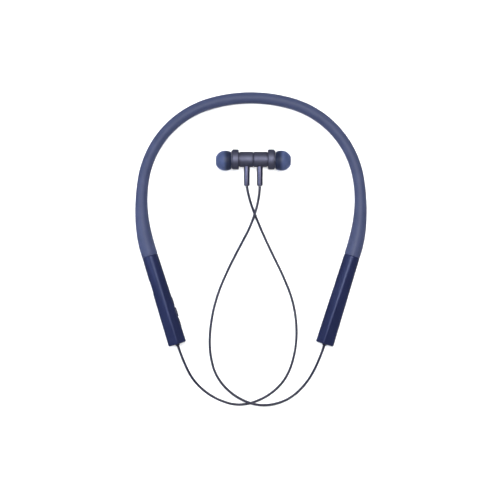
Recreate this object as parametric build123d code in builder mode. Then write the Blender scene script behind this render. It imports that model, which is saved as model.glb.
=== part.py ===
from build123d import *
import math
import os

# Neckband earphones, lying flat with every underside on Z = 0 and the back of the neck at +Y.
# Millimetres. The band is symmetric about X = 0; the docked earbuds sit a little to the right.

# Neckband centreline: three arcs a side, then a short straight run up to the pod
BAND_BACK_Y = 72.36
BACK_RADIUS, BACK_TURN = 87.4, 16.1
CORNER_RADIUS, CORNER_TURN = 56.1, 64.7
FLANK_RADIUS, FLANK_TURN = 93.8, 26.5
COLLAR_RUN = 3.0

# Silicone sleeve and what runs inside it
THIN_R, THICK_R = 3.35, 4.7
TAPER_STEPS = 8
SEAT_GAP = 0.03
LINER_R, LINER_BORE_R = 2.0, 1.6
LINER_Z = THIN_R
WIRE_R, WIRE_Z = 0.5, LINER_Z + 0.85
HARNESS_R, HARNESS_Z = 0.6, LINER_Z - 0.75
LINER_REACH, HARNESS_REACH, WIRE_REACH = 5.5, 7.5, 8.4

# Collars and ferrules that tie the sleeve to the pods
COLLAR_R, COLLAR_Z = 3.1, 3.9
COLLAR_REACH = 6.0
FERRULE_R, FERRULE_LENGTH = 1.0, 2.5

# Pods: round where they meet the sleeve, five-sided with a crisp top ridge at the cord end
POD_LENGTH, POD_WALL = 55.0, 1.1
POD_END_HALF_WIDTH = 5.4
POD_END_SHOULDER, POD_END_RIDGE = 6.8, 10.72
POD_MOUTH_CHAMFER, POD_END_CHAMFER = 0.3, 0.55
ROOF_SLOPE = math.radians(35)
RIDGE_LEAN = {"left": 0.4, "right": 1.1}
UNDERSIDE_CUT = 0.05  # depth that the underside is cut flat by
INWARD = {"left": 1, "right": -1}
SEAM_Z = 3.0
FRONT_WALL, END_WALL = 5.0, 2.0
BOSS_R, PIN_R, PIN_TOP = 1.2, 0.55, 3.5
BOSSES = {"left": (9.8, 48.5), "right": (48.5,)}

# Electronics, placed along the pod from the sleeve (s), across it (x) and up (z)
BOARD_TOP, BOARD_THICKNESS = 3.1, 0.8
DEVICE_Z = 4.7
USB_S, USB_MOUTH = 18.3, 4.35
USB_WIDTH, USB_HEIGHT, USB_DEPTH, USB_WALL = 8.94, 3.26, 6.8, 0.3
SIDE_HOLE_S = 25.2
LIGHT_R, MIC_HOLE_R = 0.8, 0.5
BATTERY_S, BATTERY_Z = 29.5, 4.85
BATTERY_SIZE = (32.0, 5.8, 4.6)

# Buttons on the left pod's inner side: distance along the pod, and how proud each cap stands
BUTTONS = {"volume_up": (30.0, 0.25), "play": (36.5, 0.55), "volume_down": (43.0, 0.25)}
BUTTON_LENGTH, BUTTON_HEIGHT, BUTTON_GAP = 5.6, 2.5, 0.15
FLANGE_INNER_X, FLANGE_OUTER_X = 3.0, 3.4
PLUNGER_R, PLUNGER_X = 0.6, 2.0
SWITCH_X, SWITCH_FACE_X = 1.3, 2.5

# Grommets and cords
CORD_R = 0.75
GROMMET_Z = 5.2
GROMMET_FLANGE_R, GROMMET_NECK_R, GROMMET_LIP_R = 2.3, 1.5, 1.0
GROMMET_REACH = 0.9

# Earbuds: e runs outward along the docking axis from the plane between them, r is a radius
BUD_X, BUD_Y, BUD_Z = 1.4, 35.6, 6.0
DOCK_GAP = 0.05
HOUSING_R, HOUSING_WALL, HOUSING_E = 4.55, 0.6, 8.06
EDGE_CHAMFER = 0.5
MAGNET_R, MAGNET_E = 3.0, 2.1
SPIGOT_E, SPIGOT_BORE_R = 6.5, 3.2
GROOVE_R, FLANGE_E, FLANGE_R, RIM_E = 4.2, 8.66, 6.0, 12.66
DRIVER_R, DRIVER_E, DRIVER_DEPTH = 5.1, 9.4, 2.6
LIP_R, LIP_E = 5.15, 13.1
NOZZLE_DROP = 0.7
NOZZLE_R, NOZZLE_BORE_R, NOZZLE_E = 2.6, 1.9, 16.9
MESH_E, MESH_DEPTH = 16.3, 0.2
TIP_SEAT_GAP, TIP_SLEEVE_R = 0.06, 3.3
TIP_RIM_E, TIP_RIM_R, TIP_WIDE_E, TIP_R = 13.3, 5.15, 16.75, 6.0
TIP_WALL, TIP_RIM_WALL, TIP_LIP = 0.7, 0.5, 0.4
STEM_E, STEM_R, STEM_BORE_R = 3.88, 1.7, 1.15
STEM_TOP, STEM_END = 3.4, 15.6
PLUG_TOP, PLUG_END = 10.0, 15.9

os.makedirs("parts", exist_ok=True)


def write(piece, name):
    """Label a finished piece and write it as its own STEP file."""
    piece.label = name
    export_step(piece, f"parts/{name}.step")


# ---------------------------------------------------------------- neckband centreline
with BuildLine() as right_half:
    back_arc = JernArc((0, BAND_BACK_Y), (1, 0), BACK_RADIUS, -BACK_TURN)
    corner_arc = JernArc(back_arc @ 1, back_arc % 1, CORNER_RADIUS, -CORNER_TURN)
    flank_arc = JernArc(corner_arc @ 1, corner_arc % 1, FLANK_RADIUS, -FLANK_TURN)
    collar_run = Line(flank_arc @ 1, flank_arc @ 1 + (flank_arc % 1) * COLLAR_RUN)

pod_start = collar_run @ 1
pod_direction = collar_run % 1

# A pod frame has X along the pod towards the cord, Y across it towards +X, and Z up
POD_FRAMES = {
    "right": Plane(pod_start, x_dir=pod_direction, z_dir=(0, 0, 1)),
    "left": Plane(
        (-pod_start.X, pod_start.Y, 0),
        x_dir=(-pod_direction.X, pod_direction.Y, 0),
        z_dir=(0, 0, 1),
    ),
}


def core_path(height, into_pods):
    """The whole centreline at one height, run on by a distance into both pods."""
    with BuildLine() as path:
        add([back_arc, corner_arc, flank_arc])
        Line(flank_arc @ 1, flank_arc @ 1 + (flank_arc % 1) * (COLLAR_RUN + into_pods))
        mirror(about=Plane.YZ)
    return path.wire().moved(Location((0, 0, height)))


def core_tube(height, into_pods, radius, inner_radius=0):
    """A round section carried along the centreline from one pod to the other."""
    path = core_path(height, into_pods)
    with BuildPart() as tube:
        with BuildSketch(Plane(path @ 0, z_dir=path % 0)):
            Circle(radius)
            if inner_radius:
                Circle(inner_radius, mode=Mode.SUBTRACT)
        sweep(path=path)
    return tube.part


# ---------------------------------------------------------------- neckband
def taper_radius(fraction):
    """Sleeve radius along the flank: an S-shaped swell from thin to thick."""
    eased = fraction ** 1.25
    return THIN_R + (THICK_R - THIN_R) * eased * eased * (3 - 2 * eased)


with BuildPart() as neckband_sleeve:
    with BuildSketch(Plane((0, BAND_BACK_Y, THIN_R), z_dir=(1, 0, 0))):
        Circle(THIN_R)
    with BuildLine() as thin_path:
        add([arc.moved(Location((0, 0, THIN_R))) for arc in (back_arc, corner_arc)])
    sweep(path=thin_path.wire())
    for step in range(TAPER_STEPS + 1):
        fraction = step / TAPER_STEPS
        radius = taper_radius(fraction)
        centre = flank_arc @ fraction
        with BuildSketch(Plane((centre.X, centre.Y, radius), z_dir=flank_arc % fraction)):
            Circle(radius)
    loft()
    with BuildSketch(Plane((pod_start.X, pod_start.Y, THICK_R), z_dir=-pod_direction)):
        Circle(THICK_R)
    extrude(amount=COLLAR_RUN)
    with BuildSketch(Plane((pod_start.X, pod_start.Y, COLLAR_Z), z_dir=-pod_direction)):
        Circle(COLLAR_R + SEAT_GAP)
    extrude(amount=COLLAR_REACH, mode=Mode.SUBTRACT)
    mirror(about=Plane.YZ)
    add(core_tube(LINER_Z, LINER_REACH, LINER_R + SEAT_GAP), mode=Mode.SUBTRACT)
write(neckband_sleeve.part, "neckband_sleeve")
write(core_tube(LINER_Z, LINER_REACH, LINER_R, LINER_BORE_R), "core_tube")
write(core_tube(WIRE_Z, WIRE_REACH, WIRE_R), "memory_wire")
write(core_tube(HARNESS_Z, HARNESS_REACH, HARNESS_R), "harness")


# ---------------------------------------------------------------- pod shells
def pod_station(side, s):
    """The plane across a pod at distance s, with X across towards +X and Y up."""
    frame = POD_FRAMES[side]
    return Plane(frame.from_local_coords((s, 0, 0)), x_dir=frame.y_dir, z_dir=frame.x_dir)


def pod_outline(side, s, half_width, low, shoulder, ridge, lean, radii):
    """A five-sided pod section: flat below, upright sides, two slopes up to a ridge."""
    bottom_radius, shoulder_radius, ridge_radius = radii
    with BuildSketch(pod_station(side, s)) as section:
        with BuildLine():
            FilletPolyline(
                (-half_width, low),
                (half_width, low),
                (half_width, shoulder),
                (lean * INWARD[side], ridge),
                (-half_width, shoulder),
                close=True,
                radius=[bottom_radius, bottom_radius, shoulder_radius, ridge_radius, shoulder_radius],
            )
        make_face()
    return section.sketch


def round_section(side, s, radius):
    """The same five sides wrapped so closely round a circle that the section is all but round."""
    low = THICK_R - radius - UNDERSIDE_CUT
    shoulder = THICK_R + radius * (1 - math.sin(ROOF_SLOPE)) / math.cos(ROOF_SLOPE)
    ridge = THICK_R + radius / math.cos(ROOF_SLOPE)
    corner = radius - 0.12
    return pod_outline(side, s, radius, low, shoulder, ridge, 0, (corner,) * 3)


def ridged_section(side, s, inset, radii):
    """The pod's end section, drawn in by an inset all round."""
    low = inset - UNDERSIDE_CUT
    ridge = POD_END_RIDGE - inset / math.cos(ROOF_SLOPE)
    shoulder = POD_END_SHOULDER - inset * (1 / math.cos(ROOF_SLOPE) - math.tan(ROOF_SLOPE))
    half_width = POD_END_HALF_WIDTH - inset
    return pod_outline(side, s, half_width, low, shoulder, ridge, RIDGE_LEAN[side], radii)


def pod_shell(side, keep):
    """One half of a pod's clamshell, hollow and cut flat below, with a hole at each end."""
    with BuildPart() as shell:
        outside = [
            round_section(side, 0, THICK_R - POD_MOUTH_CHAMFER),
            round_section(side, POD_MOUTH_CHAMFER, THICK_R),
            ridged_section(side, POD_LENGTH - POD_END_CHAMFER, 0, (3.0, 3.0, 0.55)),
            ridged_section(side, POD_LENGTH, POD_END_CHAMFER, (2.5, 2.5, 0.35)),
        ]
        loft(outside, ruled=True)
        cavity = [
            round_section(side, FRONT_WALL, THICK_R - POD_WALL),
            ridged_section(side, POD_LENGTH - END_WALL, POD_WALL, (2.2, 2.2, 0.5)),
        ]
        loft(cavity, ruled=True, mode=Mode.SUBTRACT)
        with BuildSketch(pod_station(side, 0)):
            with Locations((0, COLLAR_Z)):
                Circle(COLLAR_R + SEAT_GAP)
        extrude(amount=FRONT_WALL + POD_WALL, mode=Mode.SUBTRACT)
        with BuildSketch(pod_station(side, POD_LENGTH)):
            with Locations((0, GROMMET_Z)):
                Circle(GROMMET_NECK_R + SEAT_GAP)
        extrude(amount=-END_WALL, mode=Mode.SUBTRACT)
        split(bisect_by=Plane.XY, keep=Keep.TOP)
        split(bisect_by=Plane.XY.offset(SEAM_Z), keep=keep)
    return shell.part


def lower_shell(side):
    """The lower half shell, with stepped bosses whose pins locate the board."""
    with BuildPart() as shell:
        add(pod_shell(side, Keep.BOTTOM))
        for radius, top in ((BOSS_R, BOARD_TOP - BOARD_THICKNESS), (PIN_R, PIN_TOP)):
            with BuildSketch(POD_FRAMES[side].offset(POD_WALL / 2)):
                with Locations([(s, 0) for s in BOSSES[side]]):
                    Circle(radius)
            extrude(amount=top - POD_WALL / 2)
    return shell.part


def side_plane(side, s, z, towards):
    """A plane looking out of a pod's side at (s, z); towards is +1 for +X and -1 for -X."""
    frame = POD_FRAMES[side]
    return Plane(frame.from_local_coords((s, 0, z)), x_dir=frame.x_dir, z_dir=frame.y_dir * towards)


with BuildPart() as left_upper_shell:
    add(pod_shell("left", Keep.TOP))
    for s, proud in BUTTONS.values():
        with BuildSketch(side_plane("left", s, DEVICE_Z, 1).offset(FLANGE_OUTER_X)):
            SlotOverall(BUTTON_LENGTH + 2 * BUTTON_GAP, BUTTON_HEIGHT + 2 * BUTTON_GAP)
        extrude(amount=POD_END_HALF_WIDTH, mode=Mode.SUBTRACT)
    with BuildSketch(side_plane("left", SIDE_HOLE_S, DEVICE_Z, 1).offset(FLANGE_OUTER_X)):
        Circle(LIGHT_R + SEAT_GAP)
    extrude(amount=POD_END_HALF_WIDTH, mode=Mode.SUBTRACT)
    with BuildSketch(side_plane("left", SIDE_HOLE_S, DEVICE_Z, -1).offset(FLANGE_OUTER_X)):
        Circle(MIC_HOLE_R)
    extrude(amount=POD_END_HALF_WIDTH, mode=Mode.SUBTRACT)
    with BuildSketch(side_plane("left", USB_S, BOARD_TOP + USB_HEIGHT / 2, -1).offset(BOARD_TOP)):
        SlotOverall(USB_WIDTH + 2 * BUTTON_GAP, USB_HEIGHT + BUTTON_GAP)
    extrude(amount=POD_END_HALF_WIDTH, mode=Mode.SUBTRACT)
write(left_upper_shell.part, "left_upper_shell")
write(pod_shell("right", Keep.TOP), "right_upper_shell")
for side in POD_FRAMES:
    write(lower_shell(side), f"{side}_lower_shell")


# ---------------------------------------------------------------- collars, ferrules, grommets
for side in POD_FRAMES:
    with BuildPart() as collar:
        with BuildSketch(pod_station(side, -COLLAR_REACH + SEAT_GAP)):
            with Locations((0, COLLAR_Z)):
                Circle(COLLAR_R)
            with Locations((0, LINER_Z)):
                Circle(LINER_R + 2 * SEAT_GAP, mode=Mode.SUBTRACT)
        extrude(amount=COLLAR_REACH + FRONT_WALL)
    write(collar.part, f"{side}_collar")

    with BuildPart() as ferrule:
        with BuildSketch(pod_station(side, WIRE_REACH)):
            with Locations((0, WIRE_Z)):
                Circle(FERRULE_R)
                Circle(WIRE_R, mode=Mode.SUBTRACT)
        extrude(amount=-FERRULE_LENGTH)
    write(ferrule.part, f"{side}_wire_ferrule")

    with BuildPart() as grommet:
        with BuildSketch(pod_station(side, POD_LENGTH - END_WALL)):
            with Locations((0, GROMMET_Z)):
                Circle(GROMMET_FLANGE_R)
        extrude(amount=-GROMMET_REACH)
        with BuildSketch(pod_station(side, POD_LENGTH - END_WALL)):
            with Locations((0, GROMMET_Z)):
                Circle(GROMMET_NECK_R)
        extrude(amount=END_WALL)
        for s, radius in ((POD_LENGTH, GROMMET_NECK_R), (POD_LENGTH + GROMMET_REACH, GROMMET_LIP_R)):
            with BuildSketch(pod_station(side, s)):
                with Locations((0, GROMMET_Z)):
                    Circle(radius)
        loft()
    write(grommet.part, f"{side}_grommet")


# ---------------------------------------------------------------- electronics
def block(side, centre, size):
    """A plain block at (s, x, z) in a pod."""
    with BuildPart(POD_FRAMES[side]) as piece:
        with Locations(centre):
            Box(*size)
    return piece.part


with BuildPart(POD_FRAMES["left"]) as main_board:
    with Locations((29, 0, BOARD_TOP - BOARD_THICKNESS / 2)):
        Box(42, 5.4, BOARD_THICKNESS)
    with Locations([(s, 0, BOARD_TOP) for s in BOSSES["left"]]):
        Hole(PIN_R + SEAT_GAP, depth=2 * BOARD_THICKNESS)
write(main_board.part, "main_board")

with BuildPart(POD_FRAMES["right"]) as protection_board:
    with Locations((48.4, 0, BOARD_TOP - BOARD_THICKNESS / 2)):
        Box(4.6, 5.4, BOARD_THICKNESS)
    with Locations([(s, 0, BOARD_TOP) for s in BOSSES["right"]]):
        Hole(PIN_R + SEAT_GAP, depth=2 * BOARD_THICKNESS)
write(protection_board.part, "protection_board")

with BuildPart(POD_FRAMES["left"]) as shield_can:
    with Locations((37, -0.8, BOARD_TOP + 1.25)):
        Box(19, 3.6, 2.5)
    bottom = shield_can.faces().sort_by(Axis.Z)[0]
    offset(amount=-0.15, openings=bottom)
write(shield_can.part, "shield_can")
write(block("left", (37, -0.8, BOARD_TOP + 0.5), (8, 3, 1)), "bluetooth_chip")
write(block("left", (SIDE_HOLE_S, -2.95, DEVICE_Z), (3.2, 1.1, 2.6)), "microphone")
write(block("left", (SIDE_HOLE_S, 1.7, BOARD_TOP + 1.1), (1.6, 0.8, 2.2)), "status_led")

with BuildPart() as light_pipe:
    with BuildSketch(side_plane("left", SIDE_HOLE_S, DEVICE_Z, 1).offset(2.2)):
        Circle(LIGHT_R)
    extrude(amount=2.8)
write(light_pipe.part, "light_pipe")

with BuildPart() as usb_c_port:
    mouth = side_plane("left", USB_S, BOARD_TOP + USB_HEIGHT / 2, -1).offset(USB_MOUTH)
    with BuildSketch(mouth):
        SlotOverall(USB_WIDTH, USB_HEIGHT)
    extrude(amount=-USB_DEPTH)
    with BuildSketch(mouth):
        SlotOverall(USB_WIDTH - 2 * USB_WALL, USB_HEIGHT - 2 * USB_WALL)
    extrude(amount=-USB_DEPTH + USB_WALL, mode=Mode.SUBTRACT)
    with BuildSketch(mouth.offset(-USB_DEPTH)):
        RectangleRounded(6.7, 0.7, 0.2)
    extrude(amount=USB_DEPTH - 1)
write(usb_c_port.part, "usb_c_port")

with BuildPart(POD_FRAMES["left"]) as tact_switches:
    with Locations([(s, (SWITCH_X + SWITCH_FACE_X) / 2, DEVICE_Z) for s, proud in BUTTONS.values()]):
        Box(4, SWITCH_FACE_X - SWITCH_X, 2 * (DEVICE_Z - BOARD_TOP))
    for s, proud in BUTTONS.values():
        with BuildSketch(side_plane("left", s, DEVICE_Z, 1).offset(SWITCH_FACE_X)):
            Circle(PLUNGER_R + 0.1)
        extrude(amount=-(SWITCH_FACE_X - PLUNGER_X + 0.4), mode=Mode.SUBTRACT)
write(tact_switches.part, "tact_switches")

with BuildPart(POD_FRAMES["right"]) as battery:
    with Locations((BATTERY_S, 0, BATTERY_Z)):
        Box(*BATTERY_SIZE)
    fillet(battery.edges().filter_by(Axis((0, 0, 0), POD_FRAMES["right"].x_dir)), 1.3)
write(battery.part, "battery")
write(block("right", (BATTERY_S, 0, 1.9), (26, 2.4, 1.2)), "battery_foam")


# ---------------------------------------------------------------- buttons
for name, (s, proud) in BUTTONS.items():
    half_width = THICK_R + (POD_END_HALF_WIDTH - THICK_R) * s / POD_LENGTH
    with BuildPart() as button:
        with BuildSketch(side_plane("left", s, DEVICE_Z, 1).offset(FLANGE_OUTER_X)):
            SlotOverall(BUTTON_LENGTH, BUTTON_HEIGHT)
        extrude(amount=half_width + proud - FLANGE_OUTER_X)
        cap_face = button.faces().sort_by(Axis((0, 0, 0), POD_FRAMES["left"].y_dir))[-1]
        fillet(cap_face.edges(), 0.3)
        with BuildSketch(side_plane("left", s, DEVICE_Z, 1).offset(FLANGE_INNER_X)):
            RectangleRounded(BUTTON_LENGTH + 0.5, BUTTON_HEIGHT + 0.5, 0.4)
        extrude(amount=FLANGE_OUTER_X - FLANGE_INNER_X)
    write(button.part, f"{name}_button")
    with BuildPart() as plunger:
        with BuildSketch(side_plane("left", s, DEVICE_Z, 1).offset(PLUNGER_X)):
            Circle(PLUNGER_R)
        extrude(amount=FLANGE_INNER_X - PLUNGER_X)
    write(plunger.part, f"{name}_plunger")


# ---------------------------------------------------------------- earbuds
def bud_plane(direction, drop=0):
    """A plane holding a bud's axis, with X outward along e and Y the radius towards +Y."""
    return Plane((BUD_X, BUD_Y - drop, BUD_Z), x_dir=(direction, 0, 0), z_dir=(0, 0, direction))


def turned(direction, outline, drop=0):
    """A piece turned on a bud's axis from an (e, r) outline."""
    plane = bud_plane(direction, drop)
    with BuildPart() as piece:
        with BuildSketch(plane):
            with BuildLine():
                Polyline(*outline, close=True)
            make_face()
        revolve(axis=Axis(plane.origin, plane.x_dir))
    return piece.part


def stem_plane(direction, distance):
    """A plane across the stem at a distance below the bud's axis, facing the cord."""
    centre = (BUD_X + direction * STEM_E, BUD_Y - distance, BUD_Z)
    return Plane(centre, x_dir=(1, 0, 0), z_dir=(0, -1, 0))


def bud_housing(direction):
    """The aluminium back can, chamfered at its closed end, with the stem's hole."""
    inner_r = HOUSING_R - HOUSING_WALL
    with BuildPart() as housing:
        outline = [
            (DOCK_GAP, 0),
            (DOCK_GAP, HOUSING_R - EDGE_CHAMFER),
            (DOCK_GAP + EDGE_CHAMFER, HOUSING_R),
            (HOUSING_E, HOUSING_R),
            (HOUSING_E, inner_r),
            (DOCK_GAP + HOUSING_WALL, inner_r),
            (DOCK_GAP + HOUSING_WALL, 0),
        ]
        add(turned(direction, outline))
        with BuildSketch(stem_plane(direction, STEM_TOP)):
            Circle(STEM_R + SEAT_GAP)
        extrude(amount=2 * HOUSING_WALL + 0.5, mode=Mode.SUBTRACT)
    return housing.part


def bud_ring(direction):
    """The front ring: a spigot into the can, a groove, and the wide chamfered flange."""
    outline = [
        (SPIGOT_E, SPIGOT_BORE_R),
        (SPIGOT_E, HOUSING_R - HOUSING_WALL - SEAT_GAP),
        (HOUSING_E, HOUSING_R - HOUSING_WALL - SEAT_GAP),
        (HOUSING_E, GROOVE_R),
        (FLANGE_E, GROOVE_R),
        (FLANGE_E, FLANGE_R - EDGE_CHAMFER),
        (FLANGE_E + EDGE_CHAMFER, FLANGE_R),
        (RIM_E - EDGE_CHAMFER, FLANGE_R),
        (RIM_E, FLANGE_R - EDGE_CHAMFER),
        (RIM_E, LIP_R + SEAT_GAP),
        (DRIVER_E, LIP_R + SEAT_GAP),
        (DRIVER_E, SPIGOT_BORE_R),
    ]
    return turned(direction, outline)


def bud_nozzle(direction):
    """The front plate with its sound tube, whose axis sits a little low."""
    with BuildPart() as nozzle:
        plate_e = DRIVER_E + DRIVER_DEPTH
        add(turned(direction, [(plate_e, 0), (plate_e, LIP_R), (LIP_E, LIP_R), (LIP_E, 0)]))
        add(turned(direction, [(plate_e, 0), (plate_e, NOZZLE_R), (NOZZLE_E, NOZZLE_R), (NOZZLE_E, 0)], NOZZLE_DROP))
        bore = [(plate_e, 0), (plate_e, NOZZLE_BORE_R), (NOZZLE_E, NOZZLE_BORE_R), (NOZZLE_E, 0)]
        add(turned(direction, bore, NOZZLE_DROP), mode=Mode.SUBTRACT)
    return nozzle.part


def ear_tip(direction):
    """The silicone tip: a sleeve on the nozzle, doubled back over it as a domed skirt."""
    plane = bud_plane(direction, NOZZLE_DROP)
    half = math.sqrt(0.5)
    inner_r = TIP_R - TIP_WALL
    nose_r = NOZZLE_BORE_R + TIP_LIP
    nose_e = TIP_WIDE_E + math.sqrt(TIP_R ** 2 - nose_r ** 2)
    root_e = TIP_WIDE_E + math.sqrt(inner_r ** 2 - TIP_SLEEVE_R ** 2)
    seat_r = NOZZLE_R + TIP_SEAT_GAP
    with BuildPart() as tip:
        with BuildSketch(plane):
            with BuildLine():
                TangentArc((TIP_WIDE_E, TIP_R), (TIP_RIM_E, TIP_RIM_R), tangent=(-1, 0))
                Line((TIP_RIM_E, TIP_RIM_R), (TIP_RIM_E, TIP_RIM_R - TIP_RIM_WALL))
                TangentArc((TIP_WIDE_E, inner_r), (TIP_RIM_E, TIP_RIM_R - TIP_RIM_WALL), tangent=(-1, 0))
                mid = (TIP_WIDE_E + inner_r * math.sin(0.4), inner_r * math.cos(0.4))
                ThreePointArc((TIP_WIDE_E, inner_r), mid, (root_e, TIP_SLEEVE_R))
                Polyline(
                    (root_e, TIP_SLEEVE_R),
                    (TIP_RIM_E, TIP_SLEEVE_R),
                    (TIP_RIM_E, seat_r),
                    (NOZZLE_E + TIP_SEAT_GAP, seat_r),
                    (NOZZLE_E + TIP_SEAT_GAP, NOZZLE_BORE_R),
                    (nose_e - TIP_LIP, NOZZLE_BORE_R),
                    (nose_e, nose_r),
                )
                mid = (TIP_WIDE_E + TIP_R * half, TIP_R * half)
                ThreePointArc((nose_e, nose_r), mid, (TIP_WIDE_E, TIP_R))
            make_face()
        revolve(axis=Axis(plane.origin, plane.x_dir))
    return tip.part


def stem(direction):
    """The stem: a thin tube down from the can, its cord end lightly chamfered."""
    with BuildPart() as tube:
        with BuildSketch(stem_plane(direction, STEM_TOP)):
            Circle(STEM_R)
            Circle(STEM_BORE_R, mode=Mode.SUBTRACT)
        extrude(amount=STEM_END - STEM_TOP)
        chamfer(tube.edges().group_by(Axis.Y)[0].sort_by(SortBy.RADIUS)[-1], 0.15)
    return tube.part


def stem_plug(direction):
    """The rubber plug in the stem's end, which the cord goes into."""
    with BuildPart() as plug:
        with BuildSketch(stem_plane(direction, PLUG_TOP)):
            Circle(STEM_BORE_R)
        extrude(amount=PLUG_END - PLUG_TOP)
    return plug.part


for side, direction in (("left", -1), ("right", 1)):
    wall_e = DOCK_GAP + HOUSING_WALL
    driver_end = DRIVER_E + DRIVER_DEPTH
    magnet = [(wall_e, 0), (wall_e, MAGNET_R), (MAGNET_E, MAGNET_R), (MAGNET_E, 0)]
    driver = [(DRIVER_E, 0), (DRIVER_E, DRIVER_R), (driver_end, DRIVER_R), (driver_end, 0)]
    mesh_end = MESH_E + MESH_DEPTH
    mesh = [(MESH_E, 0), (MESH_E, NOZZLE_BORE_R), (mesh_end, NOZZLE_BORE_R), (mesh_end, 0)]
    write(bud_housing(direction), f"{side}_bud_housing")
    write(turned(direction, magnet), f"{side}_dock_magnet")
    write(bud_ring(direction), f"{side}_bud_ring")
    write(turned(direction, driver), f"{side}_driver")
    write(bud_nozzle(direction), f"{side}_nozzle")
    write(turned(direction, mesh, NOZZLE_DROP), f"{side}_nozzle_mesh")
    write(ear_tip(direction), f"{side}_ear_tip")
    write(stem(direction), f"{side}_stem")
    write(stem_plug(direction), f"{side}_stem_plug")


# ---------------------------------------------------------------- cords
FLOOR = CORD_R
HUMP = 3.0
CORD_END_Y = BUD_Y - PLUG_END - 0.1

# Each route runs from its pod's grommet round the loop and up into the stem of its earbud
LEFT_ROUTE = [
    (-41.1, -82.5, 5.0),
    (-34.3, -97.1, FLOOR),
    (-21.5, -107.3, FLOOR),
    (-6.0, -111.8, FLOOR),
    (10.2, -105.9, FLOOR),
    (21.5, -94.9, FLOOR),
    (26.6, -79.1, FLOOR),
    (27.5, -63.1, FLOOR),
    (24.7, -47.1, FLOOR),
    (18.5, -32.2, FLOOR),
    (11.3, -17.8, FLOOR),
    (4.7, -3.1, 1.2),
    (-1.2, 11.9, BUD_Z),
]
RIGHT_ROUTE = [
    (41.2, -82.5, 5.0),
    (33.7, -97.6, FLOOR),
    (21.8, -108.5, FLOOR),
    (5.5, -111.8, HUMP),
    (-9.7, -106.0, HUMP),
    (-21.1, -94.2, FLOOR),
    (-25.0, -78.4, FLOOR),
    (-24.2, -62.4, FLOOR),
    (-20.8, -46.7, FLOOR),
    (-14.7, -31.9, FLOOR),
    (-7.5, -17.6, 1.6),
    (0.2, -3.5, 4.8),
    (4.9, 11.8, BUD_Z),
]


def arc_radius(before, corner, after):
    """The largest arc that a corner's two runs allow, leaving a little straight between arcs."""
    incoming = Vector(*corner) - Vector(*before)
    outgoing = Vector(*after) - Vector(*corner)
    half_turn = math.radians(incoming.get_angle(outgoing)) / 2
    return 0.45 * min(incoming.length, outgoing.length) / math.tan(half_turn)


for side, direction, route in (("left", -1, LEFT_ROUTE), ("right", 1, RIGHT_ROUTE)):
    exit_point = POD_FRAMES[side].from_local_coords((POD_LENGTH + GROMMET_REACH, 0, GROMMET_Z))
    stem_point = (BUD_X + direction * STEM_E, CORD_END_Y, BUD_Z)
    points = [tuple(exit_point), *route, stem_point]
    radii = [arc_radius(*points[index - 1:index + 2]) for index in range(1, len(points) - 1)]
    with BuildPart() as cord:
        with BuildLine() as path:
            FilletPolyline(*points, radius=radii)
        with BuildSketch(Plane(path.wire() @ 0, z_dir=path.wire() % 0)):
            Circle(CORD_R)
        sweep(path=path.wire())
    write(cord.part, f"{side}_cord")
    tube_volume = math.pi * CORD_R ** 2 * path.wire().length
    print(f"{side}_cord length {path.wire().length:.1f} mm, volume {cord.part.volume:.1f} of {tube_volume:.1f}")
    print("  radii", [round(radius, 1) for radius in radii])
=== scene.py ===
import cmath
import math
import bmesh
import bpy
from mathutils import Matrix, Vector


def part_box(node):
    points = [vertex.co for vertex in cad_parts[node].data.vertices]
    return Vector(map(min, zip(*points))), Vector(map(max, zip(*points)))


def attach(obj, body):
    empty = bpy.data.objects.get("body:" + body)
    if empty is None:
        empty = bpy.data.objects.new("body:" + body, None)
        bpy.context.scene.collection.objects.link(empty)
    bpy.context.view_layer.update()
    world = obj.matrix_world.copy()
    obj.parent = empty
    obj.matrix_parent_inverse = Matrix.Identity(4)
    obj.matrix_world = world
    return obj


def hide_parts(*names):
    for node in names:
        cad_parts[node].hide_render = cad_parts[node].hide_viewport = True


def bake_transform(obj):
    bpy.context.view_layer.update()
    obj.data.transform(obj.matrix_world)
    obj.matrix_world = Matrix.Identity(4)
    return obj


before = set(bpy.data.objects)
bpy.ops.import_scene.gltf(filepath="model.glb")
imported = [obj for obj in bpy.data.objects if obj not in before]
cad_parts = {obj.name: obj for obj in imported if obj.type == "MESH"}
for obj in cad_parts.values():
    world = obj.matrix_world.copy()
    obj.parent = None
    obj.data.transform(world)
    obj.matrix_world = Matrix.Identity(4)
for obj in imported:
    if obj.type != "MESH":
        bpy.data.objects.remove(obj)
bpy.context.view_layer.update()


# ---------------------------------------------------------------- neckband sleeve
# The band's outside: one moulded silicone sleeve over a sprung wire, round and 6.7 mm thick behind
# the neck, swelling to 9.4 mm where it pushes onto each pod's collar. The mould leaves a faint
# parting line along its inner and outer sides.
MM = 0.001
SLEEVE_THIN_R, SLEEVE_THICK_R = 3.35, 4.7
BAND_ARCS = ((87.4, 16.1), (56.1, 64.7), (93.8, 26.5))
COLLAR_RUN = 3.0
BAND_BACK_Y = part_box("neckband_sleeve")[1][1] / MM - SLEEVE_THIN_R
FLANK_LENGTH = BAND_ARCS[2][0] * math.radians(BAND_ARCS[2][1])
THIN_LENGTH = sum(radius * math.radians(turn) for radius, turn in BAND_ARCS[:2])
HALF_BAND = THIN_LENGTH + FLANK_LENGTH + COLLAR_RUN
SLEEVE_END_CHAMFER = 0.25
PARTING_RISE, PARTING_HALF_DEGREES = 0.05, 1.2
RING_STEPS, SLEEVE_STEPS = 48, 150


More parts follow.
